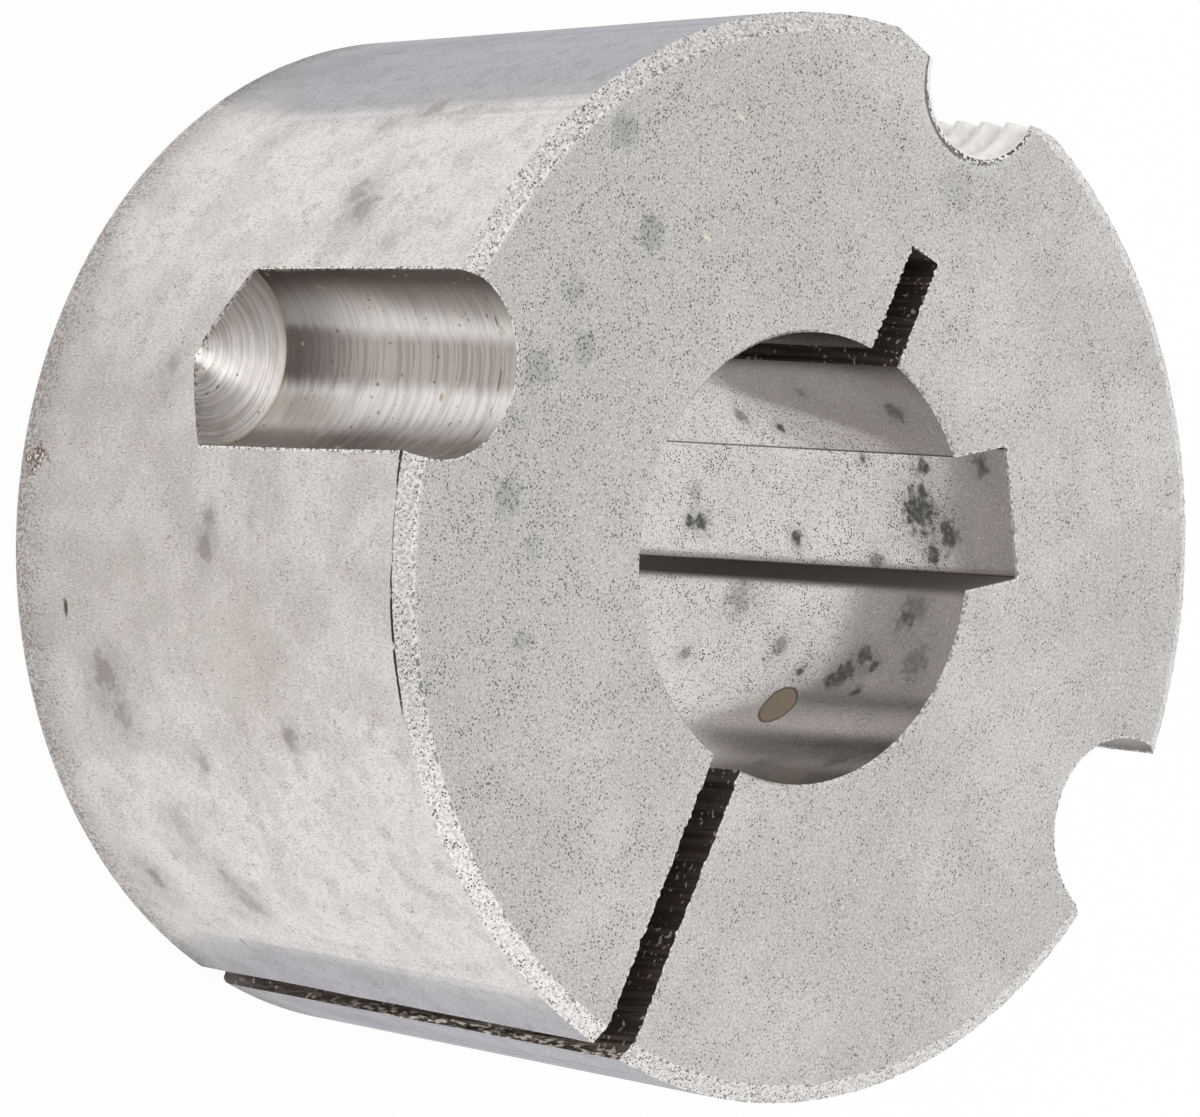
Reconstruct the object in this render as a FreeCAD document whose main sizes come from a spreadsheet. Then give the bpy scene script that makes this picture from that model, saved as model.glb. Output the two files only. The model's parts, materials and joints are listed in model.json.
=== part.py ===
import FreeCAD, Part
import math
import os

import Sketcher

# Taper bush: one piece of cast iron, turned, drilled, keywayed and sawn.
# Millimetres and degrees. The origin is on the bore's axis at the small end,
# +Z runs along the bore to the large end, and +X passes through the jacking
# hole, so the saw line is the plane y = 0 and the split is on the -X side.

doc = FreeCAD.newDocument("TaperBush")

SIZES = [
    # The turned blank
    ("LargeDiameter", 38.4, "outside, where its taper meets the large end's face"),
    ("Length", 22.2, "from end to end"),
    ("TaperAngle", 4.0, "slope of the outside, each side"),
    ("RimChamferWidth", 0.7, "chamfer round the large end, in from the outside"),
    ("RimChamferDepth", 0.45, "the same chamfer, down from the face"),
    ("SmallEndRound", 0.4, "rounded edge of the small end"),
    # The bore and its keyway
    ("BoreDiameter", 15.88, "shaft size"),
    ("KeywayWidth", 4.76, "key size"),
    ("KeywayFloor", 10.1, "bore's axis to the keyway's floor"),
    ("KeywayCornerRound", 0.2, "inner corners of the keyway"),
    ("KeywayAngle", -54.3, "round the bore from the jacking hole"),
    # The saw cuts
    ("SawWidth", 1.4, "width of the split and of the relief slot"),
    ("ReliefReach", 11.95, "bore's axis to the end of the relief slot"),
    # The half holes in the outside
    ("HoleCircleRadius", 18.65, "bore's axis to each hole's axis"),
    ("ScrewHoleDiameter", 6.7, "clear of the clamping screw's thread"),
    ("ScrewHoleDepth", 11.95, "full diameter, below the large end's face"),
    ("ScrewHoleAngle", 95.2, "each side of the jacking hole"),
    ("JackHoleDiameter", 5.1, "tapping drill of the jacking screw"),
    ("JackHoleDepth", 12.7, "full diameter, below the large end's face"),
    ("DrillPointAngle", 130.0, "cone left by the drill"),
]

sheet = doc.addObject("Spreadsheet::Sheet", "Sizes")
for row, (alias, value, meaning) in enumerate(SIZES, start=1):
    sheet.set(f"A{row}", meaning)
    sheet.set(f"B{row}", str(value))
    sheet.setAlias(f"B{row}", alias)
doc.recompute()

body = doc.addObject("PartDesign::Body", "Bush")
body.Label = "bush"
doc.recompute()


def size(alias):
    return float(sheet.get(alias))


def new_sketch(name, role, turn="0", lift="0"):
    """A sketch on one of the body's own planes, turned and lifted by the sheet's sizes."""
    sketch = body.newObject("Sketcher::SketchObject", name)
    plane = next(item for item in body.Origin.OriginFeatures if item.Role == role)
    sketch.AttachmentSupport = (plane, [""])
    sketch.MapMode = "FlatFace"
    sketch.setExpression(
        "AttachmentOffset",
        f"placement(vector(0; 0; {lift}); rotation(vector(0; 0; 1); {turn}))",
    )
    return sketch


def bind(sketch, name, constraint, expression):
    """Adds a named dimension and ties it to the sheet."""
    index = sketch.addConstraint(constraint)
    sketch.renameConstraint(index, name)
    sketch.setExpression("Constraints." + name, expression)


def draw_outline(sketch, corners):
    """Straight lines from corner to corner and back to the first."""
    points = [FreeCAD.Vector(x, y, 0) for x, y in corners]
    lines = []
    for start, end in zip(points, points[1:] + points[:1]):
        lines.append(sketch.addGeometry(Part.LineSegment(start, end)))
    for line, following in zip(lines, lines[1:] + lines[:1]):
        sketch.addConstraint(Sketcher.Constraint("Coincident", line, 2, following, 1))
    return lines


def draw_bar(sketch, reach, reach_rule, width, width_rule):
    """A bar from the bore's axis out along the sketch's X, or along -X if reach is negative."""
    near_low = (0, -width / 2)
    far_low = (reach, -width / 2)
    far_high = (reach, width / 2)
    near_high = (0, width / 2)
    low, far, high, near = draw_outline(sketch, [near_low, far_low, far_high, near_high])
    for line in (low, high):
        sketch.addConstraint(Sketcher.Constraint("Horizontal", line))
    for line in (far, near):
        sketch.addConstraint(Sketcher.Constraint("Vertical", line))
    sketch.addConstraint(Sketcher.Constraint("Symmetric", near, 1, near, 2, -1, 1))
    ends = (low, 1, low, 2) if reach > 0 else (low, 2, low, 1)
    bind(sketch, "Reach", Sketcher.Constraint("DistanceX", *ends, abs(reach)), reach_rule)
    bind(sketch, "Width", Sketcher.Constraint("DistanceY", far, 1, far, 2, width), width_rule)


def draw_circle(sketch, centre_rule, centre, diameter_rule, diameter):
    """A circle about a point on the sketch's X axis."""
    edge = Part.Circle(FreeCAD.Vector(centre, 0, 0), FreeCAD.Vector(0, 0, 1), diameter / 2)
    circle = sketch.addGeometry(edge)
    if centre_rule:
        sketch.addConstraint(Sketcher.Constraint("PointOnObject", circle, 3, -1))
        reach = Sketcher.Constraint("DistanceX", -1, 1, circle, 3, centre)
        bind(sketch, "CentreReach", reach, centre_rule)
    else:
        sketch.addConstraint(Sketcher.Constraint("Coincident", circle, 3, -1, 1))
    across = Sketcher.Constraint("Diameter", circle, diameter)
    bind(sketch, "Diameter", across, diameter_rule)


def cut_through(name, sketch):
    """Cuts the sketch's outline up through the whole length of the bush."""
    pocket = body.newObject("PartDesign::Pocket", name)
    pocket.Profile = sketch
    pocket.Type = "ThroughAll"
    pocket.Reversed = True
    doc.recompute()
    return pocket


def drill(name, sketch, diameter_rule, depth_rule):
    """Drills a blind hole with a drill's point, down from the large end."""
    hole = body.newObject("PartDesign::Hole", name)
    hole.Profile = sketch
    doc.recompute()
    hole.ThreadType = "None"
    hole.DepthType = "Dimension"
    hole.DrillPoint = "Angled"
    hole.setExpression("Diameter", diameter_rule)
    hole.setExpression("Depth", depth_rule)
    hole.setExpression("DrillPointAngle", "Sizes.DrillPointAngle")
    doc.recompute()
    return hole


def round_edges(name, base, radius_rule, wanted):
    """Rounds the base feature's edges that the wanted test picks."""
    edges = [f"Edge{n}" for n, edge in enumerate(base.Shape.Edges, start=1) if wanted(edge)]
    if not edges:
        raise RuntimeError(name + " found no edge to round")
    fillet = body.newObject("PartDesign::Fillet", name)
    fillet.Base = (base, edges)
    fillet.setExpression("Radius", radius_rule)
    doc.recompute()
    return fillet


# The blank is turned to half of its long section: the small end's face on the
# X axis, the tapered outside, the chamfered rim and the large end's face.
TAPER_RISE = math.tan(math.radians(size("TaperAngle")))
SECTION_RULES = {
    "FaceRadius": "Sizes.LargeDiameter / 2 - Sizes.RimChamferWidth",
    "RimRadius": "Sizes.LargeDiameter / 2 - Sizes.RimChamferDepth * tan(Sizes.TaperAngle * 1 deg)",
}
large_radius = size("LargeDiameter") / 2
small_radius = large_radius - size("Length") * TAPER_RISE
rim_radius = large_radius - size("RimChamferDepth") * TAPER_RISE
rim_height = size("Length") - size("RimChamferDepth")
face_radius = large_radius - size("RimChamferWidth")

section = new_sketch("BlankSection", "XZ_Plane")
small_face, outside, chamfer, large_face, centre_line = draw_outline(
    section,
    [
        (0, 0),
        (small_radius, 0),
        (rim_radius, rim_height),
        (face_radius, size("Length")),
        (0, size("Length")),
    ],
)
section.addConstraint(Sketcher.Constraint("Coincident", small_face, 1, -1, 1))
section.addConstraint(Sketcher.Constraint("Horizontal", small_face))
section.addConstraint(Sketcher.Constraint("Horizontal", large_face))
section.addConstraint(Sketcher.Constraint("Vertical", centre_line))
slope = Sketcher.Constraint("Angle", outside, math.radians(90 - size("TaperAngle")))
bind(section, "Slope", slope, "90 deg - Sizes.TaperAngle * 1 deg")
height = Sketcher.Constraint("DistanceY", -1, 1, large_face, 2, size("Length"))
bind(section, "Height", height, "Sizes.Length")
drop = Sketcher.Constraint("DistanceY", chamfer, 1, chamfer, 2, size("RimChamferDepth"))
bind(section, "ChamferDepth", drop, "Sizes.RimChamferDepth")
rim = Sketcher.Constraint("DistanceX", -1, 1, chamfer, 1, rim_radius)
bind(section, "RimRadius", rim, SECTION_RULES["RimRadius"])
face = Sketcher.Constraint("DistanceX", -1, 1, chamfer, 2, face_radius)
bind(section, "FaceRadius", face, SECTION_RULES["FaceRadius"])

blank = body.newObject("PartDesign::Revolution", "TurnedBlank")
blank.Profile = section
blank.ReferenceAxis = (section, ["V_Axis"])
blank.Angle = 360
doc.recompute()


def is_small_rim(edge):
    box = edge.BoundBox
    return box.ZMax < 1e-6 and box.XLength > size("BoreDiameter")


rounded_blank = round_edges("SmallEndEdge", blank, "Sizes.SmallEndRound", is_small_rim)

# The bore is drilled through, and the keyway is broached along it.
bore_sketch = new_sketch("BoreCircle", "XY_Plane")
draw_circle(bore_sketch, None, 0, "Sizes.BoreDiameter", size("BoreDiameter"))
bore = cut_through("Bore", bore_sketch)

keyway_sketch = new_sketch("KeywaySection", "XY_Plane", turn="Sizes.KeywayAngle")
draw_bar(
    keyway_sketch,
    size("KeywayFloor"),
    "Sizes.KeywayFloor",
    size("KeywayWidth"),
    "Sizes.KeywayWidth",
)
keyway = cut_through("Keyway", keyway_sketch)


def is_keyway_corner(edge):
    """A corner runs along the bore, where the keyway's floor meets its side."""
    reach = math.hypot(size("KeywayFloor"), size("KeywayWidth") / 2)
    ends = [math.hypot(vertex.X, vertex.Y) for vertex in edge.Vertexes]
    return edge.BoundBox.ZLength > size("Length") / 2 and all(abs(r - reach) < 0.01 for r in ends)


round_edges("KeywayCorners", keyway, "Sizes.KeywayCornerRound", is_keyway_corner)

# One pass of the saw opens the wall from the bore to the outside. A second,
# opposite it, stops short and makes the thin place where the bush flexes.
split_sketch = new_sketch("SplitSection", "XY_Plane")
draw_bar(
    split_sketch,
    -size("LargeDiameter") / 2 - size("SawWidth"),
    "Sizes.LargeDiameter / 2 + Sizes.SawWidth",
    size("SawWidth"),
    "Sizes.SawWidth",
)
split = cut_through("Split", split_sketch)

relief_sketch = new_sketch("ReliefSection", "XY_Plane")
draw_bar(
    relief_sketch,
    size("ReliefReach"),
    "Sizes.ReliefReach",
    size("SawWidth"),
    "Sizes.SawWidth",
)
relief = cut_through("ReliefSlot", relief_sketch)

# The holes are drilled while the bush sits in its hub, half in each, so only
# their inner halves are in the bush. The two plain ones take the clamping
# screws, and the tapped one, over the relief slot, takes the jacking screw.
screw_sketch = new_sketch("ScrewHoleCircle", "XY_Plane", "Sizes.ScrewHoleAngle", "Sizes.Length")
draw_circle(
    screw_sketch,
    "Sizes.HoleCircleRadius",
    size("HoleCircleRadius"),
    "Sizes.ScrewHoleDiameter",
    size("ScrewHoleDiameter"),
)
screw_hole = drill("ScrewHole", screw_sketch, "Sizes.ScrewHoleDiameter", "Sizes.ScrewHoleDepth")

screw_pair = body.newObject("PartDesign::Mirrored", "ScrewHolePair")
screw_pair.Originals = [screw_hole]
screw_pair.MirrorPlane = (
    next(item for item in body.Origin.OriginFeatures if item.Role == "XZ_Plane"),
    [""],
)
body.Tip = screw_pair
doc.recompute()

jack_sketch = new_sketch("JackHoleCircle", "XY_Plane", lift="Sizes.Length")
draw_circle(
    jack_sketch,
    "Sizes.HoleCircleRadius",
    size("HoleCircleRadius"),
    "Sizes.JackHoleDiameter",
    size("JackHoleDiameter"),
)
jack_hole = drill("JackHole", jack_sketch, "Sizes.JackHoleDiameter", "Sizes.JackHoleDepth")
body.Tip = jack_hole
doc.recompute()


# Every object has to be sound, and every cut has to have removed metal.
for item in doc.Objects:
    if "Invalid" in item.State or "Error" in item.State:
        raise RuntimeError(item.Name + " failed to rebuild")

stages = [blank, rounded_blank, bore, keyway, split, relief, screw_hole, screw_pair, jack_hole]
for before, after in zip(stages, stages[1:]):
    if after.Shape.Volume >= before.Shape.Volume:
        raise RuntimeError(after.Name + " cut nothing")

shape = body.Shape
if shape.isNull() or not shape.isValid() or len(shape.Solids) != 1:
    raise RuntimeError("the bush is not one sound solid")

os.makedirs("parts", exist_ok=True)
shape.exportStep(f"parts/{body.Label}.step")
print(body.Label, "volume", round(shape.Volume, 1), "mm3, box", shape.BoundBox)
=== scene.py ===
import json
import math

import bpy
from mathutils import Matrix, Vector


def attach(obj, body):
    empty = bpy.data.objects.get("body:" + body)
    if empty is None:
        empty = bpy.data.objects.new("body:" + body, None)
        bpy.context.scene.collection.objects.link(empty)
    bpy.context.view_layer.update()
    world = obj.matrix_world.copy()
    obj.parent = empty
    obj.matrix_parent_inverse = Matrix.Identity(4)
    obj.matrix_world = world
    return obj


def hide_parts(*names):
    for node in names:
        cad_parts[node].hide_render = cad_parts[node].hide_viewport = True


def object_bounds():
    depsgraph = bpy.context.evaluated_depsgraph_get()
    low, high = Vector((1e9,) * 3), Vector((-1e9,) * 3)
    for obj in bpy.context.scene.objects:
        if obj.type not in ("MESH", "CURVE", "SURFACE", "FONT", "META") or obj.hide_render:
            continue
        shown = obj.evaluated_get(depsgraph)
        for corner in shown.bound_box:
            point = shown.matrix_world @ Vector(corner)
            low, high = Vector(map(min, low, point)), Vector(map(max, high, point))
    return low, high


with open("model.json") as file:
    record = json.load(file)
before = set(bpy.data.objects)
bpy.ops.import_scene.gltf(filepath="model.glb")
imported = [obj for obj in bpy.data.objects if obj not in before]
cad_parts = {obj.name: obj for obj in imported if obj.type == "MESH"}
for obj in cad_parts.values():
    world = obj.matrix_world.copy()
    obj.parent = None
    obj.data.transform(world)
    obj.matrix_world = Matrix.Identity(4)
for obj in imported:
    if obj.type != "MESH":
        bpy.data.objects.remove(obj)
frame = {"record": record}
cad_low, cad_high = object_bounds()

# The blank is a short cast iron bar, turned to a taper. Its large end has a
# chamfered rim, which keeps the coarse grain of the casting, and the edge of
# its small end is rounded off.
MM = 0.001
LENGTH = cad_high.z
TAPER = math.radians(4)
SAW_WIDTH = 1.4 * MM
RIM_RADIUS = math.hypot(cad_low.x, SAW_WIDTH / 2)
RIM_WIDTH = 0.67 * MM
RIM_DEPTH = 0.45 * MM
RIM_BANDS = 5
ROUND_STEPS = 720
SMALL_END_ROUND = 0.37 * MM
RIM_ROUGHNESS = 0.07 * MM
RIM_GRAIN = 0.22 * MM
FACE_MARGIN = 0.15 * MM
EDGE_STEPS = 4
NEAR = 0.001 * MM


def add(primitive, name, **places):
    """Adds a primitive with nothing else selected, and gives it its name."""
    bpy.ops.object.select_all(action="DESELECT")
    primitive(**places)
    made = bpy.context.object
    made.name = name
    made.data.name = name
    return made


def make_active(piece):
    bpy.ops.object.select_all(action="DESELECT")
    piece.select_set(True)
    bpy.context.view_layer.objects.active = piece


def edit(piece, mode="VERT"):
    """Opens the piece's mesh for editing, with nothing in it selected."""
    make_active(piece)
    bpy.ops.object.mode_set(mode="EDIT")
    bpy.ops.mesh.select_mode(type=mode)
    bpy.ops.mesh.select_all(action="DESELECT")


def pick(piece, elements, test):
    """Selects the mesh's elements that pass the test, and nothing else."""
    bpy.ops.mesh.select_all(action="DESELECT")
    bpy.ops.object.mode_set(mode="OBJECT")
    for element in getattr(piece.data, elements):
        element.select = test(element)
    bpy.ops.object.mode_set(mode="EDIT")


def ends(piece, edge):
    return [piece.data.vertices[number].co for number in edge.vertices]


def leave():
    bpy.ops.object.mode_set(mode="OBJECT")


def apply_place(piece):
    make_active(piece)
    bpy.ops.object.transform_apply(location=True, rotation=True, scale=True)


def apply_modifier(piece, modifier):
    make_active(piece)
    bpy.ops.object.modifier_apply(modifier=modifier.name)


def roughen(piece, name, test, depth, grain):
    """Pits the vertices that pass the test, along their normals."""
    group = piece.vertex_groups.new(name=name)
    group.add([vertex.index for vertex in piece.data.vertices if test(vertex.co)], 1, "REPLACE")
    pattern = bpy.data.textures.new(name, "CLOUDS")
    pattern.noise_scale = grain
    pattern.noise_depth = 1
    pitting = piece.modifiers.new(name, "DISPLACE")
    pitting.texture = pattern
    pitting.vertex_group = group.name
    pitting.strength = depth
    pitting.mid_level = 0.9
    apply_modifier(piece, pitting)


rim_height = LENGTH - RIM_DEPTH
small_radius = RIM_RADIUS - rim_height * math.tan(TAPER)
face_radius = RIM_RADIUS - RIM_WIDTH
bush = add(
    bpy.ops.mesh.primitive_cone_add,
    "taper_bush",
    vertices=ROUND_STEPS,
    radius1=small_radius,
    radius2=RIM_RADIUS,
    depth=rim_height,
    location=(0, 0, rim_height / 2),
)
apply_place(bush)
edit(bush, "FACE")
pick(bush, "polygons", lambda face: face.normal.z > 0.9)
for band in range(RIM_BANDS):
    bpy.ops.mesh.inset(thickness=RIM_WIDTH / RIM_BANDS)
    bpy.ops.transform.translate(value=(0, 0, RIM_DEPTH / RIM_BANDS))
bpy.ops.mesh.inset(thickness=FACE_MARGIN)
bpy.ops.mesh.inset(thickness=FACE_MARGIN)
bpy.ops.mesh.select_mode(type="EDGE")
pick(bush, "edges", lambda edge: all(end.z < NEAR for end in ends(bush, edge)))
bpy.ops.mesh.bevel(offset=SMALL_END_ROUND, segments=EDGE_STEPS, profile=0.5)
leave()
roughen(
    bush,
    "cast_rim",
    lambda place: place.z > rim_height - NEAR and place.xy.length > face_radius - NEAR,
    RIM_ROUGHNESS,
    RIM_GRAIN,
)

# The large face is faced flat and dull. It has open pores, old oil spots and a broken edge round each
# hole and slot, with its ragged burrs painted bright as edge highlights. Finishes are built from wires,
# in millimetres on the bush itself.
mounts = {mount["name"]: mount for mount in frame["record"]["mounts"]}
FACE_HEIGHT = LENGTH / MM
RELIEF_REACH = 11.95 * MM
KEYWAY_WIDTH = 4.76 * MM
THREAD_RADIUS = 3.175 * MM
RUN_OUT_ANGLE = -55
RUN_OUT_PER_DEGREE = 0.0058
keyway_place = Vector(mounts["keyway"]["pos_m"])
keyway_floor = keyway_place.xy.length
keyway_angle = math.atan2(keyway_place.y, keyway_place.x)
PORE = (0.12, 0.11, 0.105, 1)
OIL = (0.28, 0.285, 0.245, 1)
# A bright colour for ragged burrs and light grain, also used for painted highlights along edges and for
# painted glints.
BURR_AND_HIGHLIGHT = (0.86, 0.85, 0.83, 1)


class Wire:
    """A socket of a finish. Python's maths on wires adds the Math nodes that it needs."""

    def __init__(self, tree, socket=None):
        self.tree = tree
        self.socket = socket

    def node(self, kind, settings, sockets, output=0):
        """Adds any node to the tree: its settings first, then the values or links of its sockets."""
        made = self.tree.nodes.new(kind)
        for name, setting in settings.items():
            setattr(made, name, setting)
        fill(made, sockets)
        return Wire(self.tree, made.outputs[output])

    def maths(self, operation, first, second=0.0):
        return self.node("ShaderNodeMath", {"operation": operation}, {0: first, 1: second})

    def __add__(self, other):
        return self.maths("ADD", self, other)

    def __radd__(self, other):
        return self.maths("ADD", other, self)

    def __sub__(self, other):
        return self.maths("SUBTRACT", self, other)

    def __rsub__(self, other):
        return self.maths("SUBTRACT", other, self)

    def __mul__(self, other):
        return self.maths("MULTIPLY", self, other)

    def __rmul__(self, other):
        return self.maths("MULTIPLY", other, self)

    def __pow__(self, other):
        return self.maths("POWER", self, other)

    def __abs__(self):
        return self.maths("ABSOLUTE", self)

    def smaller(self, other):
        return self.maths("MINIMUM", self, other)

    def larger(self, other):
        return self.maths("MAXIMUM", self, other)

    def rise(self, start, end):
        """A mask that goes smoothly from 0 at the start to 1 at the end."""
        sockets = {"Value": self, "From Min": start, "From Max": end}
        return self.node("ShaderNodeMapRange", {"interpolation_type": "SMOOTHSTEP"}, sockets)

    def part(self, letter):
        return self.node("ShaderNodeSeparateXYZ", {}, {0: self}, letter)

    def stretched(self, x, y, z):
        factors = (x, y, z)
        return self.node("ShaderNodeVectorMath", {"operation": "MULTIPLY"}, {0: self, 1: factors})

    def clouds(self, size, detail=2):
        sockets = {"Vector": self, "Scale": 1 / size, "Detail": detail}
        return self.node("ShaderNodeTexNoise", {}, sockets)

    def flecks(self, size, crowding=0.0):
        """A mask of ragged specks, about half this wide. Crowding gives more and larger ones."""
        return (self.clouds(size, 1) + crowding).rise(0.66, 0.75)

    def pits(self, spacing, crowding=0.0):
        """A mask of small round pits. Crowding gives more and larger ones."""
        away = self.node("ShaderNodeTexVoronoi", {}, {"Vector": self, "Scale": 1 / spacing})
        return (self.clouds(spacing * 3, 1) * 0.4 + crowding - away).rise(0.0, 0.08)

    def tint(self, first, second):
        """The first colour where the mask is 0, and the second where it is 1."""
        return self.node("ShaderNodeMix", {"data_type": "RGBA"}, {0: self, 6: first, 7: second}, 2)

    def blots(self, spots, ragged=0.5, halo=0.0):
        """A mask of soft ragged spots. Each has a point, a radius in millimetres and a strength.

        A halo gives each spot a wider and fainter one round it.
        """
        fray = (self.clouds(0.35, 2) - 0.5) * 2 * ragged
        mask = 0.0
        for point, radius, strength in spots:
            sockets = {0: self, 1: point}
            away = self.node("ShaderNodeVectorMath", {"operation": "DISTANCE"}, sockets, "Value")
            frayed = fray * radius + away
            mask = frayed.rise(radius, radius * 0.35) * strength + mask
            if halo:
                mask = frayed.rise(radius * 2.4, radius * 0.6) * (strength * halo) + mask
        return mask.smaller(1.0)


def fill(node, sockets):
    for name, value in sockets.items():
        if isinstance(value, Wire):
            value.tree.links.new(value.socket, node.inputs[name])
        else:
            node.inputs[name].default_value = value


def new_finish(name):
    """Starts a finish. Gives its material, its shader and the place on the bush in millimetres."""
    finish = bpy.data.materials.new(name)
    finish.use_nodes = True
    shader = finish.node_tree.nodes["Principled BSDF"]
    place = Wire(finish.node_tree).node("ShaderNodeTexCoord", {}, {}, "Object")
    return finish, shader, place.stretched(1 / MM, 1 / MM, 1 / MM)


def round_the_bore(place):
    """The distance from the bore's axis, and the angle round it in degrees."""
    x = place.part("X")
    y = place.part("Y")
    return (x * x + y * y) ** 0.5, x.maths("ARCTAN2", y, x) * math.degrees(1)


def by_the_keyway(place):
    """How far a place is along the way from the bore's axis to the keyway, and across it."""
    x = place.part("X")
    y = place.part("Y")
    along = x * math.cos(keyway_angle) + y * math.sin(keyway_angle)
    return along, y * math.cos(keyway_angle) - x * math.sin(keyway_angle)


def edge_of_cuts(place):
    """The distance on the large face, in millimetres, from a place to the nearest hole or slot."""
    radius, angle = round_the_bore(place)
    x = place.part("X")
    y = place.part("Y")
    aside = abs(y)
    slots = (aside - SAW_WIDTH / MM / 2).larger(x - RELIEF_REACH / MM)
    along, across = by_the_keyway(place)
    keyway = (abs(across) - KEYWAY_WIDTH / MM / 2).larger(along - keyway_floor / MM).larger(0 - along)
    edge = (radius - mounts["shaft_bore"]["dims"]["r_mm"]).smaller(slots).smaller(keyway)
    hole = mounts["screw_hole_plus_y"]
    out_x = x - hole["pos_m"][0] / MM
    out_y = aside - hole["pos_m"][1] / MM
    return edge.smaller((out_x * out_x + out_y * out_y) ** 0.5 - hole["dims"]["r_mm"])


def edge_of_thread(place):
    """The same for the tapped hole. Its mouth is the last turn of the thread, which runs out."""
    out_x = place.part("X") - mounts["jacking_hole"]["pos_m"][0] / MM
    out_y = place.part("Y")
    turn = out_x.maths("ARCTAN2", 0 - out_y, 0 - out_x) * math.degrees(1)
    mouth = THREAD_RADIUS / MM - (turn - RUN_OUT_ANGLE).larger(0.0) * RUN_OUT_PER_DEGREE
    mouth = mouth.larger(mounts["jacking_hole"]["dims"]["r_mm"])
    return (out_x * out_x + out_y * out_y) ** 0.5 - mouth


def bumpy(height, depth):
    """A normal from a height of 0 to 1 that stands for this depth in millimetres."""
    return height.node("ShaderNodeBump", {}, {"Height": height, "Distance": depth * MM, "Strength": 1})


face_finish, shader, place = new_finish("faced_iron")
radius, angle = round_the_bore(place)
crowd = place.clouds(1.6, 3)
grain = place.clouds(0.085, 2)
ragged = place.clouds(0.15, 2)
edge = edge_of_cuts(place)
mouth = edge_of_thread(place)
oil_spots = [
    ((9.2, 14.9), 0.9, 0.9),
    ((6.7, 12.1), 0.9, 0.9),
    ((3.2, 14.4), 0.7, 0.6),
    ((1.7, 12.9), 0.8, 0.7),
    ((0.2, 14.6), 0.9, 0.75),
    ((-2.1, 14.8), 0.6, 0.5),
    ((-4.5, 13.7), 0.9, 0.8),
    ((-5.5, 11.9), 0.6, 0.4),
    ((-8.5, 10.8), 0.7, 0.6),
    ((-12.0, 14.2), 0.6, 0.4),
    ((14.7, -0.2), 1.0, 0.3),
    ((-13.8, -5.0), 1.3, 0.2),
]
oil = place.blots([((x, y, FACE_HEIGHT), size, depth) for (x, y), size, depth in oil_spots], 0.9)
crowding = crowd * 0.35 + oil * 0.12 + place.part("Y").rise(-10, 16) * 0.05 - 0.145
open_pores = place.pits(0.13, crowding)
glints = place.stretched(1.4, 1.4, 1.4).flecks(0.17, 0.02)
# Painted highlights: bright ragged lines along the cut edges, the rim and the tapped hole's mouth, over
# real burrs.
burr_highlight = edge.rise(0.1, 0.04) * ragged.rise(0.48, 0.56)
burr_highlight = burr_highlight + radius.rise(18.42, 18.5) * ragged.rise(0.46, 0.58) * 0.6
burr_highlight = burr_highlight + mouth.rise(0.42, 0.1) * ragged.rise(0.5, 0.62) * 0.6
nicks = edge.rise(0.1, 0.02) * ragged.rise(0.47, 0.41)
left_lip = place.part("Y").rise(-0.4, 1.2)
nicks = nicks + mouth.rise(0.14, 0.04) * ragged.rise(0.52 + left_lip * 0.3, 0.46 + left_lip * 0.3)
short_scratches = [((7.7, 3.86, FACE_HEIGHT), 0.12, 1.0), ((12.1, 4.08, FACE_HEIGHT), 0.12, 0.8)]
scratches = place.stretched(1, 0.4, 1).blots(short_scratches, 0.9)
colour = place.clouds(5, 2).rise(0.35, 0.65).tint((0.54, 0.52, 0.505, 1), (0.615, 0.595, 0.58, 1))
colour = (crowd.rise(0.42, 0.66) * 0.3).tint(colour, (0.47, 0.455, 0.45, 1))
colour = (place.part("Y").rise(0, 14) * 0.75).tint(colour, (0.49, 0.475, 0.465, 1))
colour = (grain.rise(0.47, 0.66) * 0.55).tint(colour, (0.36, 0.345, 0.335, 1))
colour = (grain.rise(0.48, 0.32) * 0.4).tint(colour, (0.84, 0.82, 0.80, 1))
colour = (oil * 0.65).tint(colour, OIL)
colour = (mouth.rise(0.5, 0.1) * 0.5).tint(colour, (0.56, 0.56, 0.54, 1))
colour = (glints * 0.4).tint(colour, BURR_AND_HIGHLIGHT)
colour = (open_pores * 0.85).tint(colour, PORE)
colour = (burr_highlight * 0.7).smaller(1.0).tint(colour, BURR_AND_HIGHLIGHT)
colour = (nicks * 0.85).smaller(1.0).tint(colour, PORE)
colour = (scratches * 0.7).tint(colour, (0.82, 0.77, 0.58, 1))
fill(
    shader,
    {
        "Base Color": colour,
        "Metallic": 0.9 - open_pores * 0.6 - oil * 0.3,
        "Roughness": 0.42 + open_pores * 0.3,
        "Normal": bumpy(grain * 0.4 - open_pores, 0.012),
    },
)

# The rim is coarser, because its chamfer is left nearly as cast. It is lighter than the face, and lighter
# still with painted highlight on the side where the light falls. It has a fine bright border on each
# side, painted edge highlights over ragged burrs.
rim_finish, shader, place = new_finish("cast_rim")
radius, angle = round_the_bore(place)
crowd = place.clouds(0.9, 2)
open_pores = place.pits(0.115, crowd * 0.35 - 0.085)
grit = place.clouds(0.12, 2)
ragged = place.clouds(0.2, 2)
# Painted highlight: the rim is lighter on the side from about 125 degrees round to -15 degrees.
painted_lit_side = angle.rise(125, 148) + angle.rise(15, -15) * 0.6
colour = grit.rise(0.35, 0.65).tint((0.47, 0.455, 0.44, 1), (0.74, 0.72, 0.70, 1))
colour = (painted_lit_side * (grit.rise(0.4, 0.6) * 0.5 + 0.35)).tint(colour, (0.98, 0.95, 0.92, 1))
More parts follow.
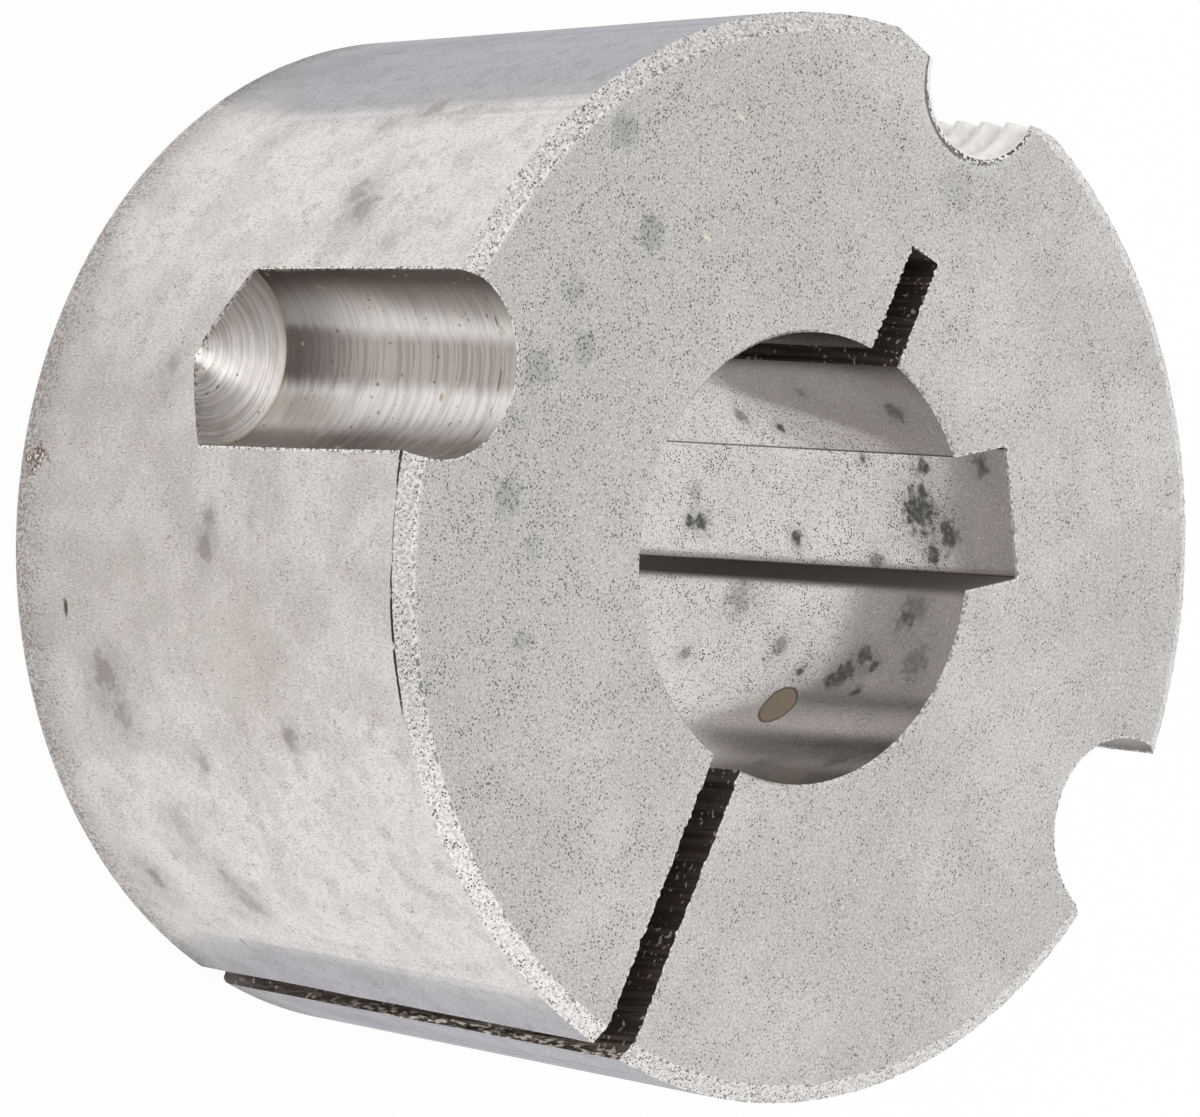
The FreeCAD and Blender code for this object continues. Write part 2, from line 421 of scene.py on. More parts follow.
# Painted edge highlights: fine bright borders along both edges, over ragged burrs, with dark grains.
border = radius.rise(18.62, 18.56) + radius.rise(19.08, 19.16)
colour = (border * ragged.rise(0.5, 0.6) * 0.5).tint(colour, BURR_AND_HIGHLIGHT)
dark_grain = open_pores * 0.95 + border * ragged.rise(0.47, 0.4) * 0.7
colour = dark_grain.smaller(0.95).tint(colour, PORE)
fill(
    shader,
    {
        "Base Color": colour,
        "Metallic": 0.6 - open_pores * 0.4,
        "Roughness": 0.55,
        "Normal": bumpy(grit * 0.5 - open_pores, 0.02),
    },
)

# The taper is turned and then polished by handling, so it is smoother and mottled, with smudges drawn out
# round it, and browner towards the small end. Painted shade darkens it round the side at 112 degrees, and
# painted highlights and a painted shadow line run along its edges.
MIDDLE_RADIUS = 18.4
SHADED_ANGLE = 112
SMUDGE_SQUEEZE = 1.2
DASH_SQUEEZE = 3


def on_wall(radius, angle, height):
    """The point at this angle in degrees and this height on a round wall."""
    turn = math.radians(angle)
    return (radius * math.cos(turn), radius * math.sin(turn), height)


def wear(piece, finish, test=lambda face: True):
    """Gives the finish to the faces that pass the test, or to all of them."""
    piece.data.materials.append(finish)
    for face in piece.data.polygons:
        if test(face):
            face.material_index = len(piece.data.materials) - 1


barrel_finish, shader, place = new_finish("turned_taper")
radius, angle = round_the_bore(place)
height = place.part("Z")
arc = angle * (math.radians(1) * MIDDLE_RADIUS)
turned = place.node("ShaderNodeCombineXYZ", {}, {"X": arc * 1.25, "Y": height, "Z": 0.0})
smudges = [
    ((77.2, 14.5), 0.9, 0.55),
    ((74.5, 13.5), 0.8, 0.5),
    ((60.1, 13.7), 0.8, 0.6),
    ((61.0, 16.0), 0.6, 0.4),
    ((63.3, 12.1), 0.7, 0.3),
    ((69.7, 18.4), 0.7, 0.3),
    ((81.4, 17.1), 0.9, 0.35),
    ((116.6, 11.2), 0.6, 0.9),
    ((113.2, 11.4), 0.4, 0.5),
    ((136.8, 14.9), 0.6, 0.8),
    ((131.5, 4.8), 1.1, 0.7),
    ((136.3, 5.4), 0.9, 0.5),
    ((160.8, 8.0), 0.9, 0.5),
    ((157.0, 7.6), 0.5, 0.5),
    ((162.9, 6.8), 0.5, 0.5),
    ((159.2, 3.0), 0.9, 0.75),
    ((96.3, 7.7), 0.6, 0.5),
    ((155.4, 19.7), 0.5, 0.4),
    ((65.5, 6.1), 0.7, 0.3),
    ((141.1, 9.4), 0.5, 0.5),
    ((151.2, 6.6), 1.1, 0.3),
    ((57.5, 4.1), 0.6, 0.4),
    ((100.1, 7.8), 0.3, 0.4),
    ((113.4, 13.7), 0.3, 0.5),
]
smudges = [
    (on_wall(MIDDLE_RADIUS, at, up * SMUDGE_SQUEEZE), size, depth) for (at, up), size, depth in smudges
]
smudge = place.stretched(1, 1, SMUDGE_SQUEEZE).blots(smudges, 0.6, 0.5)
browned = [
    ((128.3, 13.0), 4.2, 0.6),
    ((122.0, 7.3), 3.5, 0.4),
    ((64.4, 0.9), 1.0, 0.8),
    ((52.1, 0.8), 0.6, 0.6),
]
browned = [(on_wall(MIDDLE_RADIUS, at, up), size, depth) for (at, up), size, depth in browned]
brown = place.blots(browned, 0.8)
small_end = height.rise(2.6, 0.3)
patch = turned.clouds(2.6, 3)
hue = turned.clouds(1.2, 3)
specks = turned.pits(0.15, hue * 0.4 + small_end * 0.18 - 0.19)
edge = edge_of_cuts(place)
burr_highlight = edge.rise(0.14, 0.06) * height.rise(10.2, 10.3)
ragged = place.clouds(0.14, 2)
glints = turned.stretched(1.3, 1.3, 1).flecks(0.17, 0.0)
fine = turned.stretched(1.4, 0.7, 1).clouds(0.13, 3)
# Painted shade darkens the side at 112 degrees. The colour is also lighter towards the large end and
# mottled in patches.
sheen_and_mottle = abs(angle - SHADED_ANGLE).rise(10, 36) * 0.55 + angle.rise(100, 60) * 0.12
sheen_and_mottle = sheen_and_mottle + height.rise(2, 21) * 0.3 + patch.rise(0.35, 0.62) * 0.45 - 0.1
sheen_and_mottle = sheen_and_mottle.smaller(1.0).larger(0.0)
colour = sheen_and_mottle.tint((0.505, 0.475, 0.45, 1), (0.78, 0.745, 0.715, 1))
colour = (hue.rise(0.5, 0.64) * 0.5).tint(colour, (0.56, 0.50, 0.475, 1))
colour = (hue.rise(0.48, 0.35) * 0.35).tint(colour, (0.52, 0.535, 0.48, 1))
colour = (fine.rise(0.48, 0.7) * 0.6).tint(colour, (0.42, 0.39, 0.37, 1))
colour = (fine.rise(0.5, 0.3) * 0.35).tint(colour, BURR_AND_HIGHLIGHT)
colour = (brown * 0.55).tint(colour, (0.50, 0.43, 0.37, 1))
colour = (small_end * 0.42).tint(colour, (0.38, 0.345, 0.315, 1))
colour = (height.rise(1.7, 0.2) * ragged.rise(0.46, 0.38) * 0.25).tint(colour, BURR_AND_HIGHLIGHT)
colour = (smudge * 0.7).tint(colour, (0.25, 0.215, 0.20, 1))
colour = (glints * 0.3).tint(colour, BURR_AND_HIGHLIGHT)
colour = (specks * 0.65).tint(colour, (0.135, 0.135, 0.135, 1))
colour = (height.rise(1.7, 0.2) * ragged.rise(0.48, 0.6) * 0.75).tint(colour, (0.27, 0.215, 0.19, 1))
star = place.blots([(on_wall(17.7, 108.0, 1.1), 0.65, 1.0)], 1.2)
rust = place.clouds(0.12, 2)
colour = (star * rust.rise(0.56, 0.5)).tint(colour, (0.15, 0.075, 0.045, 1))
colour = (star * rust.rise(0.57, 0.62)).tint(colour, BURR_AND_HIGHLIGHT)
dashes = [
    (on_wall(17.86, 124.6, 3.05 * DASH_SQUEEZE), 0.5, 1.0),
    (on_wall(18.1, 168.8, 5.4 * DASH_SQUEEZE), 0.3, 0.7),
]
dashes = place.stretched(1, 1, DASH_SQUEEZE).blots(dashes, 0.3)
colour = dashes.tint(colour, (0.10, 0.07, 0.05, 1))
# Painted highlights and dark nicks along the edges of the cuts, over real burrs.
colour = (burr_highlight * ragged.rise(0.48, 0.54) * 0.9).tint(colour, BURR_AND_HIGHLIGHT)
colour = (burr_highlight * ragged.rise(0.46, 0.4) * 0.85).tint(colour, PORE)
# Painted shadow: a thin dark line along the rim's edge over one range of angles, like the shadow under a
# burr.
rim_shadow_line_width = angle.rise(111, 104) * 0.16 + angle.rise(116, 121) * 0.1 + 0.04
rim_shadow_line = (height + rim_shadow_line_width).rise(21.73, 21.76) * angle.rise(102, 104) * angle.rise(134, 131)
rim_shadow_line = rim_shadow_line * turned.clouds(0.5).rise(0.32, 0.46)
colour = rim_shadow_line.tint(colour, (0.03, 0.025, 0.025, 1))
fill(
    shader,
    {
        "Base Color": colour,
        "Metallic": 0.95 - smudge * 0.5 - specks * 0.5 - star * 0.9,
        "Roughness": 0.15 + smudge * 0.25 + fine * 0.08 + height.rise(7, 0.5) * 0.2,
        "Normal": bumpy(fine * 0.3 - specks, 0.004),
    },
)

wear(bush, barrel_finish)
wear(bush, face_finish, lambda face: abs(face.normal.z) > 0.95)
wear(
    bush,
    rim_finish,
    lambda face: face.normal.z > 0.1 and face.center.xy.length > face_radius - NEAR,
)

# The bore is drilled through for the shaft, and the keyway is broached along it.
# Both are smooth enough to mirror, with sharp fine pores, oil spots and a drop of dried varnish. Light
# and shade are painted in them: lighter below a slanting border, darker above it except on the far side,
# with painted shade in the keyway and a painted highlight at the mouth.
BORE_RADIUS = mounts["shaft_bore"]["dims"]["r_mm"] * MM
KEYWAY_CORNER = 0.2 * MM
BROKEN_EDGE = 0.09 * MM
DROP_SQUEEZE = 1.1
PAST = 1 * MM


def cut(piece, cutter):
    """Takes the cutter's shape out of the piece. Its finish stays on the cut faces."""
    boolean = piece.modifiers.new(cutter.name, "BOOLEAN")
    boolean.operation = "DIFFERENCE"
    boolean.solver = "EXACT"
    boolean.object = cutter
    boolean.material_mode = "TRANSFER"
    apply_modifier(piece, boolean)
    bpy.data.objects.remove(cutter)


def flare(cutter, height, upward, amount):
    """Bisects a straight cutter round the height and selects its end outside it, ready to be widened,
    which breaks the edge that it cuts.
    """
    edit(cutter)
    bpy.ops.mesh.select_all(action="SELECT")
    bpy.ops.mesh.bisect(plane_co=(0, 0, height - upward * amount), plane_no=(0, 0, 1))
    bpy.ops.mesh.select_all(action="SELECT")
    bpy.ops.mesh.bisect(plane_co=(0, 0, height + upward * amount), plane_no=(0, 0, 1))
    limit = (height + upward * amount / 2) * upward
    pick(cutter, "vertices", lambda vertex: vertex.co.z * upward > limit)


def on_keyway_floor(along, height):
    """The point this far from the middle line of the keyway's floor, at this height."""
    place = Matrix.Rotation(keyway_angle, 2) @ Vector((keyway_floor / MM, along))
    return (place.x, place.y, height)


bore_finish, shader, place = new_finish("smooth_bore")
radius, angle = round_the_bore(place)
height = place.part("Z")
bore_spots = [
    ((-77.2, 10.6), 0.9, 0.35),
    ((-90.0, 13.4), 0.5, 0.4),
    ((-96.5, 15.0), 0.3, 0.7),
    ((-96.6, 17.3), 0.6, 0.9),
    ((-99.0, 16.7), 0.4, 0.7),
    ((-90.8, 17.9), 0.5, 0.9),
    ((-93.5, 18.6), 0.3, 0.8),
    ((-76.9, 19.7), 0.8, 0.45),
    ((-91.8, 20.5), 0.9, 0.45),
    ((-80.8, 19.2), 0.5, 0.4),
    ((-102.2, 18.3), 0.3, 0.8),
    ((-27.7, 11.8), 0.4, 0.5),
    ((-30.9, 13.6), 0.25, 0.8),
    ((-18.2, 15.7), 0.3, 0.4),
    ((-23.8, 20.1), 0.6, 0.6),
    ((-127.6, 20.5), 0.8, 0.5),
    ((-135.3, 17.3), 0.8, 0.4),
    ((-93.8, 8.8), 0.4, 0.5),
]
keyway_spots = [
    ((-0.1, 17.4), 1.0, 0.9),
    ((-0.9, 18.9), 0.6, 0.9),
    ((-1.7, 18.0), 0.4, 0.9),
    ((1.5, 17.8), 0.4, 0.8),
    ((1.6, 20.8), 0.5, 0.7),
    ((-1.4, 10.9), 0.35, 0.9),
    ((-1.0, 6.0), 0.4, 0.8),
    ((-1.0, 5.3), 0.3, 0.8),
    ((0.0, 5.8), 0.45, 0.3),
    ((1.7, 14.7), 0.25, 0.7),
    ((-2.1, 15.0), 0.5, 0.5),
]
wall = BORE_RADIUS / MM
spots = [(on_wall(wall, at, up), size, depth) for (at, up), size, depth in bore_spots]
spots += [(on_keyway_floor(along, up), size, depth) for (along, up), size, depth in keyway_spots]
oil = place.blots(spots, 0.7, 0.25)
drop = (on_wall(wall, -107.9, 14.95 * DROP_SQUEEZE), 0.98, 1.0)
varnish = place.stretched(1, 1, DROP_SQUEEZE).blots([drop], 0.05)
outline = varnish.rise(0.02, 0.12)
varnish = varnish.rise(0.12, 0.3)
crowd = place.clouds(1.1, 3)
ragged = place.clouds(0.13, 2)
# Painted light and shade: lighter below a slanting border, and above it darker on the near side and
# lighter on the far side.
border = angle.rise(-16, -36) * 7.2 - angle.rise(-68, -75) * 2.6
border = border - angle.rise(-95, -120) * 5 + 11.8
shaded = (height - border).rise(-0.9, 0.9)
sharp_pores = place.pits(0.1, crowd * 0.3 - shaded * 0.12 - 0.05)
grain = place.clouds(0.08, 2)
along, across = by_the_keyway(place)
# Painted shade in the keyway: its side wall is dark and matt, with darker bands at the floor's corner,
# along the lower edge, and along the upper edge where it meets the bore.
side_wall = across.rise(-2.3, -2.36) * along.rise(7.5, 7.6)
corner = across.rise(-2.02, -2.3) * along.rise(8.8, 9.5)
lower_edge = across.rise(-2.3, -2.36) * along.rise(8.4, 7.7) * along.rise(7.45, 7.55)
upper_edge = across.rise(2.34, 2.38) * across.rise(2.47, 2.42) * along.rise(0, 1)
# The lip at the mouth gets a painted highlight, with bright and dark ragged burrs.
lip = height.rise(22.06, 22.1)
far_side = angle.rise(-66, -80) * 0.15 + angle.rise(-106, -120) * 0.85
upper = (far_side * angle.rise(-178, -170)).tint((0.405, 0.38, 0.365, 1), (0.80, 0.755, 0.73, 1))
colour = shaded.tint((0.75, 0.72, 0.695, 1), upper)
colour = (place.clouds(3, 2).rise(0.35, 0.65) * 0.25).tint(colour, (0.50, 0.47, 0.45, 1))
colour = (grain.rise(0.48, 0.66) * 0.5).tint(colour, (0.33, 0.31, 0.30, 1))
colour = (grain.rise(0.48, 0.3) * 0.3).tint(colour, BURR_AND_HIGHLIGHT)
colour = (side_wall * 0.92).tint(colour, (0.13, 0.115, 0.11, 1))
colour = (sharp_pores * (1 - varnish) * 0.85).tint(colour, PORE)
oil_grain = place.clouds(0.2, 2).rise(0.3, 0.65) * 0.45 + 0.6
colour = (oil * oil_grain).smaller(0.95).tint(colour, (0.10, 0.10, 0.088, 1))
colour = ((corner + lower_edge * 0.6) * 0.8).smaller(0.9).tint(colour, (0.20, 0.17, 0.16, 1))
colour = (upper_edge * 0.8).tint(colour, (0.05, 0.045, 0.045, 1))
colour = (lip * 0.6).tint(colour, (0.62, 0.60, 0.58, 1))
colour = (lip * ragged.rise(0.54, 0.6) * 0.6).tint(colour, BURR_AND_HIGHLIGHT)
colour = (lip * ragged.rise(0.46, 0.4) * 0.7).tint(colour, PORE)
colour = outline.tint(colour, (0.12, 0.10, 0.08, 1))
colour = varnish.tint(colour, (0.50, 0.41, 0.29, 1))
dull = (sharp_pores * 0.6 + oil * 0.3).larger(outline * 0.95).larger(lip * 0.7)
rough = (sharp_pores * 0.3 + oil * 0.15).larger(varnish * 0.4)
fill(
    shader,
    {
        "Base Color": colour,
        "Metallic": 0.96 - dull.larger(side_wall * 0.8),
        "Roughness": 0.18 + rough.larger(side_wall * 0.65),
        "Normal": bumpy(sharp_pores * -1.0, 0.001),
    },
)

bore = add(
    bpy.ops.mesh.primitive_cylinder_add,
    "bore",
    vertices=ROUND_STEPS // 2,
    radius=BORE_RADIUS,
    depth=LENGTH + 2 * PAST,
    location=(0, 0, LENGTH / 2),
)
apply_place(bore)
for height, upward in ((LENGTH, 1), (0, -1)):
    flare(bore, height, upward, BROKEN_EDGE)
    wider = 1 + 2 * BROKEN_EDGE / BORE_RADIUS
    bpy.ops.transform.resize(value=(wider, wider, 1))
    leave()
wear(bore, bore_finish)
cut(bush, bore)

keyway = add(
    bpy.ops.mesh.primitive_cube_add,
    "keyway",
    size=1,
    location=(keyway_floor / 2, 0, LENGTH / 2),
)
keyway.scale = (keyway_floor, KEYWAY_WIDTH, LENGTH + 2 * PAST)
apply_place(keyway)
edit(keyway, "EDGE")
pick(
    keyway,
    "edges",
    lambda edge: all(end.x > keyway_floor / 2 for end in ends(keyway, edge))
    and (ends(keyway, edge)[0] - ends(keyway, edge)[1]).length > LENGTH,
)
bpy.ops.mesh.bevel(offset=KEYWAY_CORNER, segments=EDGE_STEPS, profile=0.5)
leave()
keyway.rotation_euler = (0, 0, keyway_angle)
apply_place(keyway)
wear(keyway, bore_finish)
cut(bush, keyway)

# A slitting saw opens the wall on one side and cuts part way into the wall opposite, on the same line. It
# leaves ragged edges and scored sides. The sides are painted dark as shade in the narrow slot, with a
# painted highlight along the torn edge.
SAW_SCORES = 0.06 * MM
SCORE_DEPTH = 0.045 * MM
SAW_STEPS = 12
STRETCH = 1000


def saw(name, start, end, seed):
    """A slab from start to end along X, with scores that run along the bore.

    Its vertices are scattered while it is STRETCH times too long and tall, which
    moves them across it only.
    """
    slab = add(bpy.ops.mesh.primitive_plane_add, name, size=1)
    slab.scale = (abs(end - start) * STRETCH, SAW_WIDTH, 1)
    apply_place(slab)
    slab.location = ((start + end) / 2, 0, -PAST)
    slab.scale = (1 / STRETCH, 1, 1 / STRETCH)
    edit(slab, "EDGE")
    pick(slab, "edges", lambda edge: ends(slab, edge)[0].y == ends(slab, edge)[1].y)
    bpy.ops.mesh.subdivide(number_cuts=round(abs(end - start) / SAW_SCORES))
    bpy.ops.mesh.select_mode(type="FACE")
    bpy.ops.mesh.select_all(action="SELECT")
    bpy.ops.transform.vertex_random(offset=SCORE_DEPTH, uniform=1, normal=0, seed=seed)
    rise = (LENGTH + 2 * PAST) / SAW_STEPS
    for step in range(SAW_STEPS):
        bpy.ops.mesh.extrude_region_move(TRANSFORM_OT_translate={"value": (0, 0, rise)})
        bpy.ops.transform.vertex_random(offset=SCORE_DEPTH / 4, uniform=1, normal=0, seed=seed + step + 1)
    bpy.ops.mesh.select_all(action="SELECT")
    bpy.ops.mesh.normals_make_consistent(inside=False)
    leave()
    apply_place(slab)
    return slab


sawn_finish, shader, place = new_finish("sawn_slots")
radius, angle = round_the_bore(place)
height = place.part("Z")
scored = place.stretched(8, 2, 0.3).clouds(1, 3)
chips = place.flecks(0.22, place.clouds(1.5, 2) * 0.5 - 0.23)
depth_in = small_radius / MM + height * math.tan(TAPER) - radius
outside = depth_in.rise(0.8, 0.15)
ragged = place.stretched(1, 1, 0.25).clouds(0.1, 3)
# Painted shade: the sides are dark as in the narrow slot, lighter towards its mouth and towards the small
# end, with a painted highlight along the torn edge.
colour = scored.rise(0.4, 0.7).tint((0.04, 0.03, 0.026, 1), (0.10, 0.073, 0.058, 1))
colour = (outside * ragged.rise(0.42, 0.58) * 0.75).tint(colour, (0.20, 0.148, 0.113, 1))
torn_edge_highlight = depth_in.rise(0.36, 0.2) * ragged.rise(0.5, 0.58) * height.rise(3, 12)
colour = torn_edge_highlight.tint(colour, (0.80, 0.73, 0.63, 1))
colour = (height.rise(2.5, 0.5) * 0.4).tint(colour, (0.34, 0.31, 0.28, 1))
colour = (chips * 0.8).tint(colour, (0.62, 0.55, 0.46, 1))
fill(shader, {"Base Color": colour, "Metallic": 0.1, "Roughness": 0.6, "Normal": bumpy(scored, 0.02)})

for slot in (
    saw("split", -BORE_RADIUS / 2, -RIM_RADIUS - PAST, 10),
    saw("relief_slot", BORE_RADIUS / 2, RELIEF_REACH, 40),
):
    wear(slot, sawn_finish)
    cut(bush, slot)

# Two plain blind holes for the clamping screws are drilled half in the bush and half in its hub. The
# drill leaves rings, and painted reflections make dark and light bands along them, with painted shade on
# the cone.
POINT_ANGLE = math.radians(130)
DRILL_STEPS = 256


def drill(name, mount, finish):
    """Drills a plain blind hole with a pointed end into the bush, at the mount."""
    radius = mount["dims"]["r_mm"] * MM
    depth = mount["dims"]["length_mm"] * MM
    x, y, top = mount["pos_m"]
    bit = add(
        bpy.ops.mesh.primitive_cylinder_add,
        name,
        vertices=DRILL_STEPS,
        radius=radius,
        depth=depth + PAST,
        location=(x, y, top + (PAST - depth) / 2),
    )
    apply_place(bit)
    edit(bit, "FACE")
    pick(bit, "polygons", lambda face: face.normal.z < -0.9)
    point = radius / math.tan(POINT_ANGLE / 2)
    bpy.ops.mesh.extrude_region_move(TRANSFORM_OT_translate={"value": (0, 0, -point)})
    bpy.ops.mesh.merge(type="CENTER")
    leave()
    wear(bit, finish)
    cut(bush, bit)


drilled_finish, shader, place = new_finish("drilled_hole")
hole_x, hole_y, hole_top = mounts["screw_hole_plus_y"]["pos_m"]
hole_bottom = hole_top / MM - mounts["screw_hole_plus_y"]["dims"]["length_mm"]
height = place.part("Z")
out_x = place.part("X") - hole_x / MM
out_y = abs(place.part("Y")) - hole_y / MM
from_axis = (out_x * out_x + out_y * out_y) ** 0.5
side = out_x.maths("ARCTAN2", out_y, out_x) * math.degrees(1)
rings = {"X": from_axis * 13, "Y": height * 8, "Z": side * 0.012}
ringed = place.node("ShaderNodeCombineXYZ", {}, rings).clouds(1, 3)
sweeps = {"X": side * 0.03, "Y": height * 3.5 + side * 0.04, "Z": 1.0}
swept = place.node("ShaderNodeCombineXYZ", {}, sweeps).clouds(1, 3)
tilt = side + swept * 9 - 4.5
on_side = height.rise(hole_bottom - 0.02, hole_bottom + 0.02)
# Painted reflections: a dark side, a dark middle band and a dark low edge along the hole, and painted
# shade on and near the cone at its end.
dark_side = (side + swept * 4 - 2).rise(-40, -6) * on_side
mid = tilt.rise(-88, -75) * tilt.rise(-44, -56) * on_side
low_edge = tilt.rise(-108, -123) * on_side
above_joint = height - hole_bottom
joint = above_joint.rise(0.06, 0.01) * above_joint.rise(-0.06, -0.01)
near_cone = above_joint.rise(5.2, 0.8) * (mid + tilt.rise(-56, -48) * on_side * 0.6)
cone_shade = (side.rise(-96, -78) * 0.26 + side.rise(-62, -25) * 0.15) * (1 - on_side)
depth_in = small_radius / MM + height * math.tan(TAPER) - round_the_bore(place)[0]
ragged = place.clouds(0.14, 2)
colour = ringed.rise(0.3, 0.7).tint((0.68, 0.65, 0.625, 1), (0.86, 0.84, 0.82, 1))
cone_rings = (1 - on_side) * (ringed.rise(0.56, 0.42) * 0.3 + 0.04)
colour = cone_rings.tint(colour, (0.36, 0.32, 0.295, 1))
scratched = side.rise(-40, -85) * 0.27 + 0.12
colour = (swept.rise(0.45, 0.7) * scratched).tint(colour, (0.44, 0.41, 0.385, 1))
brownish_band = tilt.rise(-86, -94) * tilt.rise(-116, -102) * above_joint.rise(4.2, 2.5) * on_side
colour = (brownish_band * 0.35).tint(colour, (0.47, 0.38, 0.30, 1))
colour = (mid * (0.63 + ringed.rise(0.46, 0.62) * 0.3)).tint(colour, (0.32, 0.27, 0.24, 1))
streaked = 1 - swept.rise(0.5, 0.65) * 0.5
colour = (low_edge * streaked * 0.8).tint(colour, (0.27, 0.225, 0.20, 1))
colour = (dark_side * 0.9).tint(colour, (0.105, 0.078, 0.06, 1))
colour = (near_cone * 0.75).tint(colour, (0.12, 0.107, 0.10, 1))
colour = cone_shade.tint(colour, (0.12, 0.09, 0.07, 1))
colour = (joint * 0.5).tint(colour, (0.42, 0.34, 0.22, 1))
rub = height.rise(21.35, 21.4) * height.rise(21.5, 21.45)
rub = rub * place.clouds(0.9, 2).rise(0.45, 0.55)
colour = (rub * 0.8).tint(colour, (0.20, 0.14, 0.09, 1))
# Painted highlight and dark nicks along the hole's edge, over real burrs.
colour = (depth_in.rise(0.2, 0.1) * ragged.rise(0.48, 0.54) * 0.9).tint(colour, BURR_AND_HIGHLIGHT)
colour = (depth_in.rise(0.2, 0.1) * ragged.rise(0.44, 0.38) * 0.8).tint(colour, PORE)
chips = place.flecks(0.42, dark_side * 0.06 + low_edge * 0.05 - 0.05)
colour = (chips * 0.75).tint(colour, (0.50, 0.38, 0.20, 1))
dirt = place.flecks(0.28, -0.04)
colour = (dirt * 0.7).tint(colour, (0.14, 0.11, 0.09, 1))
fill(
    shader,
    {
        "Base Color": colour,
        "Metallic": 0.95 - chips * 0.8,
        "Roughness": 0.24 + ringed * 0.15,
        "Normal": bumpy(ringed, 0.01),
    },
)

for name in ("screw_hole_plus_y", "screw_hole_minus_y"):
    drill(name, mounts[name], drilled_finish)

# The third hole is tapped for the screw that pushes the bush out of its hub. Its
# thread is swept as one closed helix with flat crests and a narrow root, and then
# cut out of the drilled hole.
THREAD_PITCH = 25.4 / 20 * MM
THREAD_ROOT = 0.1 * MM
CREST_FLAT = 0.2 * MM
CREST_DEPTH = 0.15 * MM
ROUNDING_DEPTH = 0.14 * MM
THREAD_ANGLE = math.radians(60)
THREAD_START = math.radians(107)
THREAD_TURNS = 8
TURN_STEPS = 72

jack = mounts["jacking_hole"]
jack_x, jack_y, jack_top = jack["pos_m"]
tap_radius = jack["dims"]["r_mm"] * MM
tapped_finish, shader, place = new_finish("tapped_thread")
out_x = place.part("X") - jack_x / MM
out_y = place.part("Y")
from_axis = (out_x * out_x + out_y * out_y) ** 0.5
worn = place.clouds(0.3, 3)
colour = worn.rise(0.3, 0.7).tint((0.84, 0.815, 0.79, 1), (0.95, 0.93, 0.90, 1))
colour = (place.flecks(0.3, -0.05) * 0.4).tint(colour, (0.40, 0.38, 0.36, 1))
# Painted shade: thin dark lines at the roots of the thread.
colour = (from_axis.rise(3.06, 3.14) * 0.7).tint(colour, (0.20, 0.18, 0.17, 1))
ragged = place.clouds(0.15, 2)
at_mouth = place.part("Z").rise(22.04, 22.12)
colour = (at_mouth * ragged.rise(0.54, 0.48)).tint(colour, (0.10, 0.07, 0.05, 1))
fill(shader, {"Base Color": colour, "Metallic": 0.35, "Roughness": 0.6, "Normal": bumpy(worn, 0.006)})

drill("tapping_drill", jack, tapped_finish)

base_radius = tap_radius - CREST_DEPTH
rounding_radius = tap_radius + ROUNDING_DEPTH
rounding_width = THREAD_ROOT + 2 * (THREAD_RADIUS - rounding_radius) * math.tan(THREAD_ANGLE / 2)
groove_depth = THREAD_RADIUS - base_radius
thread = add(bpy.ops.mesh.primitive_plane_add, "thread", size=1, rotation=(math.pi / 2, 0, 0))
thread.scale = (groove_depth, THREAD_PITCH, 1)
thread.location = (base_radius + groove_depth / 2, 0, 0)
apply_place(thread)
edit(thread)
for level in (rounding_radius, tap_radius):
    bpy.ops.mesh.select_all(action="SELECT")
    bpy.ops.mesh.bisect(plane_co=(level, 0, 0), plane_no=(1, 0, 0))
for level, width in (
    (THREAD_RADIUS, THREAD_ROOT),
    (rounding_radius, rounding_width),
    (tap_radius, THREAD_PITCH - CREST_FLAT),
    (base_radius, THREAD_PITCH - CREST_FLAT / 2),
):
    pick(thread, "vertices", lambda vertex: abs(vertex.co.x - level) < NEAR)
    bpy.ops.transform.resize(value=(1, 1, width / THREAD_PITCH))
bpy.ops.mesh.select_mode(type="FACE")
bpy.ops.mesh.select_all(action="SELECT")
bpy.ops.mesh.dissolve_faces()
leave()
thread.rotation_euler = (0, 0, THREAD_START)
apply_place(thread)
helix = thread.modifiers.new("helix", "SCREW")
helix.axis = "Z"
helix.screw_offset = THREAD_PITCH
helix.iterations = THREAD_TURNS + 2
helix.steps = TURN_STEPS
helix.render_steps = TURN_STEPS
helix.use_merge_vertices = False
apply_modifier(thread, helix)
edit(thread, "EDGE")
bpy.ops.mesh.select_non_manifold()
bpy.ops.mesh.edge_face_add()
leave()
thread.location = (jack_x, jack_y, jack_top - THREAD_TURNS * THREAD_PITCH)
apply_place(thread)
edit(thread)
bpy.ops.mesh.select_all(action="SELECT")
bpy.ops.mesh.normals_make_consistent(inside=False)
leave()
wear(thread, tapped_finish)
cut(bush, thread)

# Both corners of the tapped hole's mouth are filed off at a slant, and one lip is
# filed flat along the thread. Each flat has its middle, the way that it faces, and
# its slant.
FILE_SIZE = Vector((4, 4, 12)) * MM
SMOOTH_ANGLE = 25

for middle, facing, slant in (
    ((18.27, 4.05, 22.2), -6, 29),
    ((18.42, -3.2, 22.2), 16.6, 29),
    ((18.5, -2.5, 20.2), 7, 0),
):
    tilt = Matrix.Rotation(math.radians(-slant), 3, "Y")
    tilt = Matrix.Rotation(math.radians(facing), 3, "Z") @ tilt
    file = add(bpy.ops.mesh.primitive_cube_add, "file", size=1)
    file.scale = FILE_SIZE
    file.rotation_euler = tilt.to_euler()
    file.location = Vector(middle) * MM + tilt @ Vector((FILE_SIZE.x / 2, 0, 0))
    apply_place(file)
    wear(file, rim_finish)
    cut(bush, file)

make_active(bush)
bpy.ops.object.shade_smooth_by_angle(angle=math.radians(SMOOTH_ANGLE))

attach(bush, "root")
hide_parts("bush")

